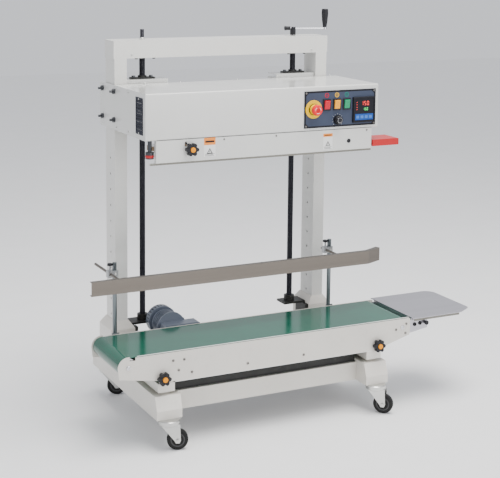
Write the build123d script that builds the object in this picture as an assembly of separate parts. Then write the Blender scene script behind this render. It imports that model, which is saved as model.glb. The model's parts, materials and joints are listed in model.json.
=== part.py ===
"""Continuous band sealer: a floor-standing bag sealer on casters.

A sealing head rides up and down two columns on a pair of lead screws, above a belt conveyor.
Lengths are in millimetres, +Z is up, +X runs along the belt towards the bag inlet and +Y points
to the back. Shapes are built about the middle of the columns at floor level, and everything is
moved at the end so that the origin is the middle of the bounding box, on the floor.
"""
from build123d import *
from math import cos, pi, radians, sin
import os

# ---------------------------------------------------------------- driving dimensions

# columns and the beam that ties them
COLUMN_X = 422.5
COLUMN_W = 48
COLUMN_D = 95
COLUMN_WALL = 3
HOLE_PITCH = 60
HOLE_R = 4.5
HOLE_COUNT = 11
HOLE_TOP_Z = 953
BEAM_HALF = 449.5
BEAM_Z0 = 1326.5
BEAM_H = 65.5
BEAM_WALL = 3

# feet, pedestals and casters
FOOT_W = 95
FOOT_Z0 = 112
FOOT_Z1 = 192
FOOT_FRONT = -515.5
FOOT_REAR = 145
FOOT_NOSE_H = 32
FOOT_BEVEL = 18
FOOT_WALL = 4
PEDESTAL_HALF_D = 66
PEDESTAL_SHOULDER_Z = 306
PEDESTAL_Z = 335
CROSSBEAM_FRONT = -440
CROSSBEAM_D = 60
CROSSBEAM_H = 69
CASTER_R = 37.5
CASTER_TREAD = 22
CASTER_TRAIL = 30
CASTER_RACE_R = 40
CASTER_RACE_T = 10
CASTER_CROWN_T = 9
CASTER_Y = (-508, 95)

# lead screws and crank
SCREW_X = 319.5
SCREW_R = 11
SCREW_FIT = 0.05
SCREW_Z0 = 322
SCREW_STUB_Z = 1430
SCREW_STUB_R = 7.5
BEARING_Z = 316
SPROCKET_R = 26
SPROCKET_Z = 1345
SPROCKET_H = 6
CRANK_Z = 1421
CRANK_R = 130
CRANK_ANGLE = -14
GRIP_Z0 = 1427
GRIP_Z1 = 1497

# sealing head
HEAD_X0 = -451.5
HEAD_X1 = 492.5
HEAD_FRONT = -364.5
HEAD_BACK = -51
HEAD_Z0 = 1066.5
HEAD_Z1 = 1231.5
HEAD_SHEET = 2
SIDE_PLATE_T = 3
SIDE_PLATE_REAR = 99
SHOE_Z = (1104, 1209)
SHOE_GAP = 0.3
NUT_BRACKET_H = 20
NUT_BRACKET_INNER = 229
COVER_X0 = -411.5
COVER_X1 = 466.5
COVER_Z0 = 986.5
RAIL_Z0 = 979
COVER_KNOB = (-281.6, 1030)
FEED_GUIDE_X1 = 586

# sealing band drive
SEAL_Y = -290
BAND_WHEEL_R = 32
BAND_GAP = 0.3
BAND_T = 0.6
BAND_OFFSET = 33.5
BAND_WHEEL_X = (-368, 430)
BAND_Z = (1016, 1034)
EXIT_ROLLER = (-424, -335)

# control panel, on the front of the head
PANEL = (174, 480, 1077, 1214)
PANEL_T = 2.5
ESTOP = (212, 1147)
ESTOP_TRAVEL = 4
ROCKER_X = (268, 311, 353)
ROCKER_Z = 1162
ROCKER_TILT = 8
SPEED_KNOB = (315, 1103)
CONTROLLER = (427, 1137)
CONTROLLER_SIZE = 96

# conveyor
CONVEYOR_FRONT = -487.5
CONVEYOR_REAR = -214.5
CONVEYOR_X0 = -606
CONVEYOR_X1 = 583
CONVEYOR_Z0 = 233
BELT_TOP = 341
PLATE_T = 3
ROLLER_R = 32
BELT_T = 2
ROLLER_X = (-564, 549)
ROLLER_Z = BELT_TOP - BELT_T - ROLLER_R
END_R = 38
BELT_GAP = 0.3
KNOB_X = 437
KNOB_Z = 254
KNOB_R = 24
BRACKET_W = 62
BRACKET_Z0 = 201
BRACKET_WALL = 3

# side table at the inlet end
TABLE_X0 = 588
TABLE_X1 = 874
TABLE_Y0 = -503
TABLE_Y1 = -194
TABLE_T = 2

# bag guide bar behind the belt
GUIDE_X0 = -641
GUIDE_BEND_X = 486
GUIDE_TIP = 75
GUIDE_BEND = 24
GUIDE_FRONT = -335
GUIDE_D = 18
GUIDE_Z = (527, 578)
POST_X = (-508, 385)
POST_Y = -204
POST_R = 8
POST_TOP = 606
ROD_Z = 566
ROD_R = 5
ROD_SIDE = 18
ROD_REAR = (-50, -178)

# gear motor behind the conveyor
MOTOR_X = -268
MOTOR_Z = 324
MOTOR_R = 50
FAN_R = 56
FAN_REAR = -38


# ---------------------------------------------------------------- small helpers

def block(x0, x1, y0, y1, z0, z1):
    """A box between two corners."""
    return Pos((x0 + x1) / 2, (y0 + y1) / 2, (z0 + z1) / 2) * Box(x1 - x0, y1 - y0, z1 - z0)


def rod_z(x, y, z0, z1, r):
    """An upright cylinder."""
    return Pos(x, y, (z0 + z1) / 2) * Cylinder(r, z1 - z0)


def rod_y(x, z, y0, y1, r):
    """A cylinder that runs front to back."""
    return Pos(x, (y0 + y1) / 2, z) * Rot(90, 0, 0) * Cylinder(r, y1 - y0)


def rod_x(y, z, x0, x1, r):
    """A cylinder that runs along the belt."""
    return Pos((x0 + x1) / 2, y, z) * Rot(0, 90, 0) * Cylinder(r, x1 - x0)


def plate_xz(points, y0, y1):
    """A plate of the given X, Z outline, from y0 back to y1."""
    outline = make_face(Polyline([(x, 0, z) for x, z in points], close=True))
    return Pos(0, y0, 0) * extrude(outline, amount=y1 - y0, dir=(0, 1, 0))


def plate_xy(points, z0, z1):
    """A plate of the given X, Y outline, from z0 up to z1."""
    outline = make_face(Polyline(points, close=True))
    return Pos(0, 0, z0) * extrude(outline, amount=z1 - z0)


def hex_y(x, z, y0, y1, across):
    """A hexagonal nut or head whose axis runs front to back."""
    return Pos(x, y0, z) * Rot(-90, 0, 0) * extrude(RegularPolygon(across / 2, 6, major_radius=False), y1 - y0)


def hex_x(y, z, x0, x1, across):
    """A hexagonal nut or head whose axis runs along the belt."""
    return Pos(x0, y, z) * Rot(0, 90, 0) * extrude(RegularPolygon(across / 2, 6, major_radius=False), x1 - x0)


def hex_z(x, y, z0, z1, across):
    """A hexagonal nut or head on an upright axis."""
    return Pos(x, y, z0) * extrude(RegularPolygon(across / 2, 6, major_radius=False), z1 - z0)


def mirrored_x(shape):
    """The same piece on the other side of the machine."""
    return mirror(shape, about=Plane.YZ)


def group(*shapes):
    """Separate solids kept together as one node."""
    solids = [solid for shape in shapes for solid in shape.solids()]
    return Compound(children=solids)


def star_knob(x, z, y_back, radius, stem_length, lobes=6):
    """A clamping knob with rounded lobes, its stem going back into a plate."""
    hub_r = radius * 0.72
    lobe_r = radius * 0.30
    head = rod_y(x, z, y_back - 24, y_back - 6, hub_r)
    for i in range(lobes):
        angle = 2 * pi * i / lobes
        lobe_x = x + (radius - lobe_r) * cos(angle)
        lobe_z = z + (radius - lobe_r) * sin(angle)
        head += rod_y(lobe_x, lobe_z, y_back - 24, y_back - 6, lobe_r)
    neck = rod_y(x, z, y_back - 6, y_back - 0.3, radius * 0.42)
    cap = rod_y(x, z, y_back - 27, y_back - 24, radius * 0.4)
    stem = rod_y(x, z, y_back - 0.3, y_back + stem_length, 4)
    return head + neck + cap + stem


# ---------------------------------------------------------------- base frame

def foot():
    """Left foot: a bevelled box section with the pedestal that carries the column."""
    nose_top = FOOT_Z0 + FOOT_NOSE_H
    side = [
        (FOOT_FRONT, FOOT_Z0),
        (FOOT_FRONT, nose_top),
        (FOOT_FRONT + FOOT_BEVEL, FOOT_Z1),
        (FOOT_REAR - FOOT_BEVEL, FOOT_Z1),
        (FOOT_REAR, nose_top),
        (FOOT_REAR, FOOT_Z0),
    ]
    outline = make_face(Polyline([(0, y, z) for y, z in side], close=True))
    bar = Pos(-COLUMN_X - FOOT_W / 2, 0, 0) * extrude(outline, amount=FOOT_W, dir=(1, 0, 0))
    inner = block(
        -COLUMN_X - FOOT_W / 2 + FOOT_WALL, -COLUMN_X + FOOT_W / 2 - FOOT_WALL,
        FOOT_FRONT + 26, FOOT_REAR - 26, FOOT_Z0 - 1, FOOT_Z1 - FOOT_WALL)
    for y in CASTER_Y:
        inner -= block(-COLUMN_X - FOOT_W, -COLUMN_X + FOOT_W, y - 50, y + 50, FOOT_Z0 - 1, FOOT_Z0 + 5)
    half = FOOT_W / 2
    pedestal = Pos(-COLUMN_X, 0, FOOT_Z1) * extrude(
        Rectangle(FOOT_W, 2 * PEDESTAL_HALF_D), PEDESTAL_SHOULDER_Z - FOOT_Z1)
    shoulder = loft([
        Pos(-COLUMN_X, 0, PEDESTAL_SHOULDER_Z) * Rectangle(FOOT_W, 2 * PEDESTAL_HALF_D),
        Pos(-COLUMN_X, 0, PEDESTAL_Z) * Rectangle(COLUMN_W + 6, COLUMN_D + 6)])
    hollow = block(
        -COLUMN_X - half + FOOT_WALL, -COLUMN_X + half - FOOT_WALL,
        -PEDESTAL_HALF_D + FOOT_WALL, PEDESTAL_HALF_D - FOOT_WALL,
        FOOT_Z1 - FOOT_WALL - 1, PEDESTAL_SHOULDER_Z - FOOT_WALL)
    return bar - inner + pedestal + shoulder - hollow


def crossbeam():
    """Box section that ties the two feet together under the belt."""
    inner_x = COLUMN_X - FOOT_W / 2
    back = CROSSBEAM_FRONT + CROSSBEAM_D
    outer = block(-inner_x, inner_x, CROSSBEAM_FRONT, back, FOOT_Z0, FOOT_Z0 + CROSSBEAM_H)
    wall = FOOT_WALL
    bore = block(-inner_x - 1, inner_x + 1, CROSSBEAM_FRONT + wall, back - wall,
                 FOOT_Z0 + wall, FOOT_Z0 + CROSSBEAM_H - wall)
    return outer - bore


def base_tray():
    """Dark pan over the crossbeam that hides the wiring between the feet."""
    inner_x = COLUMN_X - FOOT_W / 2 - 0.5
    z0 = FOOT_Z0 + CROSSBEAM_H
    top = z0 + 30
    front = CROSSBEAM_FRONT + 12
    rear = -90
    pan = block(-inner_x, inner_x, front, rear, z0, top)
    return pan - block(-inner_x + 2, inner_x - 2, front + 2, rear + 1, z0 - 1, top - 2)


def column():
    """Left column: a rectangular tube with a row of holes in its outer and inner faces."""
    bottom = PEDESTAL_Z
    tube = block(-COLUMN_X - COLUMN_W / 2, -COLUMN_X + COLUMN_W / 2,
                 -COLUMN_D / 2, COLUMN_D / 2, bottom, BEAM_Z0)
    wall = COLUMN_WALL
    tube -= block(-COLUMN_X - COLUMN_W / 2 + wall, -COLUMN_X + COLUMN_W / 2 - wall,
                  -COLUMN_D / 2 + wall, COLUMN_D / 2 - wall, bottom - 1, BEAM_Z0 + 1)
    for i in range(HOLE_COUNT):
        z = HOLE_TOP_Z - i * HOLE_PITCH
        tube -= rod_x(0, z, -COLUMN_X - COLUMN_W, -COLUMN_X + COLUMN_W, HOLE_R)
    return tube


def top_beam():
    """Inverted channel across the columns; the lift chain runs inside it."""
    z1 = BEAM_Z0 + BEAM_H
    depth = COLUMN_D / 2
    beam = block(-BEAM_HALF, BEAM_HALF, -depth, depth, BEAM_Z0, z1)
    wall = BEAM_WALL
    inside = block(-BEAM_HALF + 62, BEAM_HALF - 62, -depth + wall, depth - wall,
                   BEAM_Z0 - 1, z1 - wall)
    beam -= inside
    for side in (-1, 1):
        near, far = side * (BEAM_HALF - 59), side * (BEAM_HALF - wall)
        beam -= block(min(near, far), max(near, far), -depth + wall, depth - wall, BEAM_Z0 + wall, z1 - wall)
        beam -= rod_z(side * SCREW_X, 0, z1 - wall - 1, z1 + 1, SCREW_STUB_R + 1.5)
    return beam


def screw_bearings():
    """The screws' bearings: flanges bolted under the beam and pillow plates at the pedestals."""
    pieces = []
    for side in (-1, 1):
        x = side * SCREW_X
        flange = block(x - 46, x + 46, -COLUMN_D / 2 + BEAM_WALL, COLUMN_D / 2 - BEAM_WALL,
                       BEAM_Z0, BEAM_Z0 + 6)
        flange += rod_z(x, 0, BEAM_Z0 + 6, BEAM_Z0 + 14, 20)
        flange -= rod_z(x, 0, BEAM_Z0 - 1, BEAM_Z0 + 20, SCREW_R + SCREW_FIT)
        for dx in (-35, 35):
            for dy in (-30, 30):
                flange += hex_z(x + dx, dy, BEAM_Z0 - 5, BEAM_Z0, 10)
        pieces.append(flange)
        inner = side * (COLUMN_X - FOOT_W / 2)
        tip = side * (SCREW_X - 38)
        plate = block(min(inner, tip), max(inner, tip), -34, 34, BEARING_Z - 8, BEARING_Z)
        plate += block(min(inner, inner - side * 6), max(inner, inner - side * 6),
                       -34, 34, BEARING_Z - 60, BEARING_Z)
        plate += rod_z(x, 0, BEARING_Z, BEARING_Z + 22, 21)
        plate -= rod_z(x, 0, BEARING_Z + 6, BEARING_Z + 30, SCREW_R + SCREW_FIT)
        pieces.append(plate)
    return group(*pieces)


def lift_chain():
    """Closed roller chain round the two sprockets, as a plain band."""
    z0 = SPROCKET_Z + 0.5
    outer = SPROCKET_R + 6.5
    inner = SPROCKET_R + 0.5
    loop = Pos(0, 0, z0) * extrude(SlotCenterToCenter(2 * SCREW_X, 2 * outer), SPROCKET_H - 1)
    return loop - Pos(0, 0, z0 - 1) * extrude(SlotCenterToCenter(2 * SCREW_X, 2 * inner), SPROCKET_H + 1)


def caster_positions():
    """Swivel axes of the four casters with the direction each wheel trails in, in degrees."""
    front, rear = CASTER_Y
    return {
        "front_left": (-COLUMN_X, front, -20),
        "front_right": (COLUMN_X, front, -45),
        "rear_left": (-COLUMN_X, rear, -20),
        "rear_right": (COLUMN_X, rear, -22),
    }


def caster_plates():
    """Upper swivel races of the four casters, round dishes under the feet with their king bolts."""
    pieces = []
    for x, y, _ in caster_positions().values():
        race = rod_z(x, y, FOOT_Z0 - CASTER_RACE_T, FOOT_Z0, CASTER_RACE_R)
        race = chamfer(race.edges().filter_by(GeomType.CIRCLE).group_by(Axis.Z)[-1], 3)
        race -= rod_z(x, y, FOOT_Z0 - CASTER_RACE_T - 1, FOOT_Z0 - CASTER_RACE_T + 4, 14)
        pieces.append(race)
    return group(*pieces)


def caster_fork(x, y, angle):
    """Pressed fork: a round crown and two tapered legs that trail to the wheel axle."""
    top = FOOT_Z0 - CASTER_RACE_T - 0.4
    crown_z = top - CASTER_CROWN_T
    leg_y = CASTER_TREAD / 2 + 4
    body = rod_z(0, 0, crown_z, top, CASTER_RACE_R - 2)
    body = fillet(body.edges().filter_by(GeomType.CIRCLE).group_by(Axis.Z)[0], 4)
    body += block(-30, CASTER_TRAIL + 8, -leg_y - 3, leg_y + 3, crown_z, crown_z + 4)
    outline = [(-30, crown_z + 3), (CASTER_TRAIL + 8, crown_z + 3), (CASTER_TRAIL + 11, CASTER_R),
               (CASTER_TRAIL + 6, CASTER_R - 10), (CASTER_TRAIL - 6, CASTER_R - 10), (CASTER_TRAIL - 12, CASTER_R)]
    for side in (-1, 1):
        y0 = side * leg_y - 1.5 + side * 1.5
        body += plate_xz(outline, y0, y0 + 3)
    body += rod_y(CASTER_TRAIL, CASTER_R, -leg_y - 7, leg_y + 7, 4)
    return Pos(x, y, 0) * Rot(0, 0, angle) * body


def caster_wheel(x, y, angle):
    """Rubber tyre on a plastic centre, bored for its axle."""
    half = CASTER_TREAD / 2
    wheel = rod_y(CASTER_TRAIL, CASTER_R, -half, half, CASTER_R)
    wheel = fillet(wheel.edges().filter_by(GeomType.CIRCLE), 5)
    wheel += rod_y(CASTER_TRAIL, CASTER_R, -half - 2, half + 2, 12)
    wheel -= rod_y(CASTER_TRAIL, CASTER_R, -half - 5, half + 5, 4.05)
    return Pos(x, y, 0) * Rot(0, 0, angle) * wheel


# ---------------------------------------------------------------- lift

def lead_screw(side):
    """Lead screw with its chain sprocket and the stub that stands above the beam."""
    x = side * SCREW_X
    top = BEAM_Z0 + BEAM_H
    screw = rod_z(x, 0, SCREW_Z0 + 0.3, BEAM_Z0 + 18, SCREW_R)
    screw += rod_z(x, 0, BEAM_Z0 + 15, top - BEAM_WALL - 6, SCREW_STUB_R + 1)
    screw += rod_z(x, 0, SPROCKET_Z, SPROCKET_Z + SPROCKET_H, SPROCKET_R)
    stub_top = SCREW_STUB_Z if side < 0 else CRANK_Z - 14
    return screw + rod_z(x, 0, top - BEAM_WALL - 8, stub_top, SCREW_STUB_R)


def crank_arm():
    """Crank: a hub clamped on the right screw's stub, a flat arm and the grip's pin."""
    hub = rod_z(0, 0, BEAM_Z0 + BEAM_H + 2, CRANK_Z + 6, 10.5)
    hub -= rod_z(0, 0, BEAM_Z0 + BEAM_H - 1, CRANK_Z - 14, SCREW_STUB_R)
    boss = Pos(-18, 0, CRANK_Z) * Rot(0, 90, 0) * Cylinder(6.5, 30)
    arm = block(6, CRANK_R, -6, 6, CRANK_Z - 2.5, CRANK_Z + 2.5)
    eye = rod_z(CRANK_R, 0, CRANK_Z - 3.5, CRANK_Z + 3.5, 9)
    pin = rod_z(CRANK_R, 0, CRANK_Z - 7, GRIP_Z1 - 12, 3.5)
    turned = Rot(0, 0, CRANK_ANGLE) * (hub + boss + arm + eye + pin)
    return Pos(SCREW_X, 0, 0) * turned


def crank_grip():
    """Tapered grip that spins on the crank's pin."""
    profile = Polyline(
        [(3.55, 0, GRIP_Z0 - 2), (7.5, 0, GRIP_Z0 - 2), (11, 0, GRIP_Z0 + 22), (13.5, 0, GRIP_Z0 + 52),
         (12.5, 0, GRIP_Z1 - 2), (10.5, 0, GRIP_Z1), (3.55, 0, GRIP_Z1)], close=True)
    grip = revolve(make_face(profile), Axis.Z)
    x = SCREW_X + CRANK_R * cos(radians(CRANK_ANGLE))
    y = CRANK_R * sin(radians(CRANK_ANGLE))
    return Pos(x, y, 0) * grip


# ---------------------------------------------------------------- sealing head

def head_cover():
    """Sheet cover: front, top and right side, bent from one sheet."""
    x0 = HEAD_X0 + SIDE_PLATE_T
    shell = block(x0, HEAD_X1, HEAD_FRONT, HEAD_BACK, HEAD_Z0, HEAD_Z1)
    front_edges = shell.edges().filter_by(Axis.X).group_by(Axis.Y)[0]
    right_edges = shell.edges().filter_by(Axis.Y).group_by(Axis.X)[-1]
    shell = fillet(front_edges + right_edges, 5)
    t = HEAD_SHEET
    shell -= block(x0 - 1, HEAD_X1 - t, HEAD_FRONT + t, HEAD_BACK + 1, HEAD_Z0 + 3.2, HEAD_Z1 - t)
    shell -= block(x0 - 1, HEAD_X1 - 20, HEAD_FRONT + 20, HEAD_BACK + 1, HEAD_Z0 - 1, HEAD_Z0 + 4)
    return shell - rod_y(SPEED_KNOB[0], SPEED_KNOB[1], HEAD_FRONT - 1, HEAD_FRONT + 6, 3.1)


def head_side_plate():
    """Left side plate: closes the cover and reaches back past the column."""
    plate = block(HEAD_X0, HEAD_X0 + SIDE_PLATE_T, HEAD_FRONT, SIDE_PLATE_REAR, HEAD_Z0, HEAD_Z1)
    plate = fillet(plate.edges().filter_by(Axis.X).group_by(Axis.Y)[-1], 14)
    slot_z0, slot_z1, louvres = 1088, 1210, 9
    pitch = (slot_z1 - slot_z0) / louvres
    for i in range(louvres):
        z = slot_z0 + i * pitch
        plate -= block(HEAD_X0 - 1, HEAD_X0 + SIDE_PLATE_T + 1, -338, -279, z + 2, z + pitch - 3)
    return plate


def head_chassis():
    """Base plate, back plate and the carriage plates that hold the guide shoes and lead nuts."""
    x0 = HEAD_X0 + SIDE_PLATE_T
    base = block(x0, HEAD_X1 - 20.5, HEAD_FRONT + 20.5, HEAD_BACK - 30, HEAD_Z0, HEAD_Z0 + 3)
    for x in BAND_WHEEL_X:
        for side in (-1, 1):
            base -= rod_z(x, SEAL_Y + side * BAND_OFFSET, HEAD_Z0 - 1, HEAD_Z0 + 4, 6.05)
    base -= rod_z(EXIT_ROLLER[0], EXIT_ROLLER[1], HEAD_Z0 - 1, HEAD_Z0 + 4, 7.55)
    back_top = HEAD_Z1 - HEAD_SHEET - 0.2
    back = block(x0, HEAD_X1 - 20.5, HEAD_BACK - 33, HEAD_BACK - 30, HEAD_Z0, back_top)
    back += block(HEAD_X1 - 21, HEAD_X1 - HEAD_SHEET - 0.2, HEAD_BACK - 33, HEAD_BACK - 30,
                  HEAD_Z0 + 3.5, back_top)
    chassis = base + back
    inner = COLUMN_X - COLUMN_W / 2 - 2
    outer = COLUMN_X + COLUMN_W / 2 + 2
    for x in (-inner, inner - SIDE_PLATE_T, outer):
        chassis += block(x, x + SIDE_PLATE_T, HEAD_BACK - 32, SIDE_PLATE_REAR - 4,
                         HEAD_Z0 + 8, HEAD_Z1 - HEAD_SHEET - 0.4)
    for side in (-1, 1):
        near = side * NUT_BRACKET_INNER
        far = side * (inner - SIDE_PLATE_T)
        web = block(min(near, far), max(near, far), -36, 36, HEAD_Z1 - 6, HEAD_Z1)
        web += block(min(near, far), max(near, far), -36, -33, HEAD_Z1 - 6, HEAD_Z1 + NUT_BRACKET_H - 6)
        web += block(min(near, far), max(near, far), -36, 36, HEAD_Z1 + NUT_BRACKET_H - 9,
                     HEAD_Z1 + NUT_BRACKET_H - 6)
        web += block(min(near, near + side * 3), max(near, near + side * 3), HEAD_BACK - 31, 36,
                     HEAD_Z1 - 60, HEAD_Z1 - 3)
        web += block(min(far, far + side * 3.1), max(far, far + side * 3.1), -36, 36,
                     HEAD_Z1 - 30, HEAD_Z1 + NUT_BRACKET_H - 6)
        web -= rod_z(side * SCREW_X, 0, HEAD_Z1 - 70, HEAD_Z1 + 40, 17)
        chassis += web
    return chassis


def guide_shoes():
    """Eight nylon shoes that run on the front and back faces of the columns."""
    pieces = []
    for side in (-1, 1):
        for face in (-1, 1):
            for z in SHOE_Z:
                x0 = side * COLUMN_X - COLUMN_W / 2 - 2
                y = face * (COLUMN_D / 2 + SHOE_GAP)
                shoe = block(x0, x0 + COLUMN_W + 4, min(y, y + face * 26), max(y, y + face * 26),
                             z - 18, z + 18)
                pieces.append(shoe)
    return group(*pieces)


def head_fasteners():
    """Studs and nuts of the guide shoes, and the bolts of the lead nuts."""
    pieces = []
    stud_y = COLUMN_D / 2 + 13.5
    right = COLUMN_X + COLUMN_W / 2 + 2 + SIDE_PLATE_T
    for y in (-stud_y, stud_y):
        for z in SHOE_Z:
            nut = hex_x(y, z, HEAD_X0 - 9, HEAD_X0, 17)
            pieces.append(nut + rod_x(y, z, HEAD_X0 - 20, HEAD_X0 - 9, 4.5))
            if y > 0:
                pieces.append(hex_x(y, z, right, right + 8, 17))
    for side in (-1, 1):
        for dx in (-35, 35):
            top = HEAD_Z1 + NUT_BRACKET_H - 6
            pieces.append(hex_z(side * SCREW_X + dx, 0, top + 6, top + 12, 13))
    return group(*pieces)


def lead_nuts():
    """Flanged bronze nuts that ride on the lead screws."""
    pieces = []
    top = HEAD_Z1 + NUT_BRACKET_H - 6
    for side in (-1, 1):
        x = side * SCREW_X
        nut = block(x - 46, x + 46, -16, 16, top, top + 6)
        nut += rod_z(x, 0, top - 34, top + 12, 16.5)
        nut -= rod_z(x, 0, top - 40, top + 20, SCREW_R + SCREW_FIT)
        pieces.append(nut)
    return group(*pieces)


def lower_front_cover():
    """Sheet guard in front of the sealing bands, with a slot for the adjusting knob."""
    t = HEAD_SHEET
    front = HEAD_FRONT
    sheet = block(COVER_X0, COVER_X1, front, front + t, COVER_Z0, HEAD_Z0)
    sheet += block(COVER_X0, COVER_X1, front, front + 18, HEAD_Z0 - t, HEAD_Z0)
    sheet += block(COVER_X0, COVER_X0 + t, front, front + 16, COVER_Z0, HEAD_Z0)
    sheet += block(COVER_X1 - t, COVER_X1, front, front + 16, COVER_Z0, HEAD_Z0)
    rail = block(COVER_X0 - 22, COVER_X1, front + t + 1, front + 16, RAIL_Z0, COVER_Z0)
    sheet += rail
    slot = block(-303, -295, front - 1, front + t + 1, 1040, 1058)
    return sheet - slot - rod_y(COVER_KNOB[0], COVER_KNOB[1], front - 1, front + t + 1, 4.3)


def feed_guide():
    """Red inlet guide: an upturned channel that leads the bag's mouth between the bands."""
    x0, x1 = COVER_X1 + 4, FEED_GUIDE_X1
    guide = block(x0, x1, HEAD_FRONT - 6, -274, 994, 1019)
    top_edges = guide.edges().filter_by(Axis.Y).group_by(Axis.X)[-1]
    guide = fillet(top_edges, 3)
    guide -= block(x0 - 1, x1 + 1, SEAL_Y - 5, SEAL_Y + 5, 993, 1013)
    hanger = block(x0, x0 + 12, -300, -276, 1018, HEAD_Z0)
    return guide + hanger


def band_wheel(x, side):
    """Band wheel on its own shaft; side is -1 in front of the seal and 1 behind it."""
    y = SEAL_Y + side * BAND_OFFSET
    z0, z1 = BAND_Z
    wheel = rod_z(x, y, z0, z1, BAND_WHEEL_R)
    wheel += rod_z(x, y, z1, HEAD_Z0 + 22, 6)
    groove = rod_z(x, y, z0 - 1, z0 + 4, 26) - rod_z(x, y, z0 - 1, z0 + 4, 10)
    return wheel - groove


def sealing_bands():
    """Two closed bands, one round each pair of wheels."""
    span = BAND_WHEEL_X[1] - BAND_WHEEL_X[0]
    mid = (BAND_WHEEL_X[1] + BAND_WHEEL_X[0]) / 2
    z0, z1 = BAND_Z
    inner = BAND_WHEEL_R + BAND_GAP
    outer = inner + BAND_T
    pieces = []
    for side in (-1, 1):
        y = SEAL_Y + side * BAND_OFFSET
        ring = SlotCenterToCenter(span, 2 * outer) - SlotCenterToCenter(span, 2 * inner)
        pieces.append(Pos(mid, y, z0 + 1) * extrude(ring, z1 - z0 - 2))
    return group(*pieces)


def seal_blocks():
    """Heating blocks, cooling blocks and their hangers, a pair on each side of the seal."""
    pieces = []
    z0, z1 = BAND_Z[0] + 1, BAND_Z[1] - 1
    band_back = BAND_OFFSET - BAND_WHEEL_R - BAND_GAP
    for centre, length in ((150, 150), (-30, 100), (-180, 90)):
        for side in (-1, 1):
            face = SEAL_Y + side * (band_back + BAND_T + 0.7 + BAND_GAP)
            back = face + side * 14
            piece = block(centre - length / 2, centre + length / 2, min(face, back), max(face, back), z0, z1)
            piece += block(centre - 8, centre + 8, min(face, back), max(face, back), z1, HEAD_Z0)
            pieces.append(piece)
    return group(*pieces)


def head_motor():
    """Motor that drives the bands, bolted on the base plate inside the cover."""
    z0 = HEAD_Z0 + 3
    box = block(-330, -230, -220, -130, z0, z0 + 58)
    can = rod_x(-175, z0 + 45, -230, -90, 40)
    return box + can + block(-220, -110, -205, -145, z0, z0 + 14)


def exit_roller():
    """Small press roller with a ring, on a shaft under the outlet end of the head."""
    x, y = EXIT_ROLLER
    roller = rod_z(x, y, 999, 1024, 15)
    roller = fillet(roller.edges().filter_by(GeomType.CIRCLE), 2)
    return roller + rod_z(x, y, 1024, HEAD_Z0 + 2.5, 7.5)


# ---------------------------------------------------------------- control panel

def control_panel():
    """Panel plate with holes for what is fitted through it, and the switch frames."""
    x0, x1, z0, z1 = PANEL
    front = HEAD_FRONT - PANEL_T
    panel = block(x0, x1, front, HEAD_FRONT, z0, z1)
    for x in ROCKER_X:
        frame = block(x - 16.5, x + 16.5, front - 3, front, ROCKER_Z - 21.5, ROCKER_Z + 21.5)
        panel += frame
        panel -= block(x - 12.5, x + 12.5, front - 4, HEAD_FRONT - 0.2, ROCKER_Z - 17.5, ROCKER_Z + 17.5)
    for x in (x0 + 7, x1 - 7):
        for z in (z0 + 7, z1 - 7):
            panel += rod_y(x, z, front - 1.5, front, 3.5)
    panel -= rod_y(SPEED_KNOB[0], SPEED_KNOB[1], front - 1, HEAD_FRONT + 1, 3.1)
    return panel


def estop_base():
    """Yellow disc and collar of the emergency stop."""
    x, z = ESTOP
    face = HEAD_FRONT - PANEL_T
    disc = rod_y(x, z, face - 2.5, face, 34)
    collar = Pos(x, face - 2.5, z) * Rot(90, 0, 0) * Cone(20, 17, 14, align=(Align.CENTER, Align.CENTER, Align.MIN))
    return disc + collar - rod_y(x, z, face - 20, face - 2.5, 11)


def estop_button():
    """Red mushroom head on its plunger."""
    x, z = ESTOP
    face = HEAD_FRONT - PANEL_T
    cap = rod_y(x, z, face - 36, face - 22, 20)
    cap = fillet(cap.edges().filter_by(GeomType.CIRCLE).group_by(Axis.Y)[0], 5)
    return cap + rod_y(x, z, face - 22, face - 2.5 - ESTOP_TRAVEL - 0.5, 10.9)


def rocker(x):
    """Rocker of an illuminated switch, tilted to its off side."""
    face = HEAD_FRONT - PANEL_T
    key = Rot(90, 0, 0) * extrude(Rectangle(22, 32), 7)
    key = fillet(key.edges().filter_by(Axis.X).group_by(Axis.Y)[0], 1.5)
    return Pos(x, face + 1.5, ROCKER_Z) * Rot(ROCKER_TILT, 0, 0) * Pos(0, -1.5, 0) * key


def speed_knob():
    """Speed control knob with a skirt, a turned cap and its shaft."""
    x, z = SPEED_KNOB
    face = HEAD_FRONT - PANEL_T
    knob = rod_y(x, z, face - 4, face - 0.5, 18)
    body = Pos(x, face - 4, z) * Rot(90, 0, 0) * Cone(15.5, 13, 15, align=(Align.CENTER, Align.CENTER, Align.MIN))
    return knob + body + rod_y(x, z, face - 20, face - 18.5, 9.5) + rod_y(x, z, face - 1, face + 3.5, 3)


def temperature_controller():
    """Square panel instrument with a raised bezel and a recessed window."""
    x, z = CONTROLLER
    face = HEAD_FRONT - PANEL_T
    half = CONTROLLER_SIZE / 2
    body = block(x - half, x + half, face - 8, face, z - half, z + half)
    body = fillet(body.edges().group_by(Axis.Y)[0], 2)
    return body - block(x - half + 6, x + half - 6, face - 9, face - 6.5, z - half + 6, z + half - 6)


# ---------------------------------------------------------------- conveyor

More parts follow.
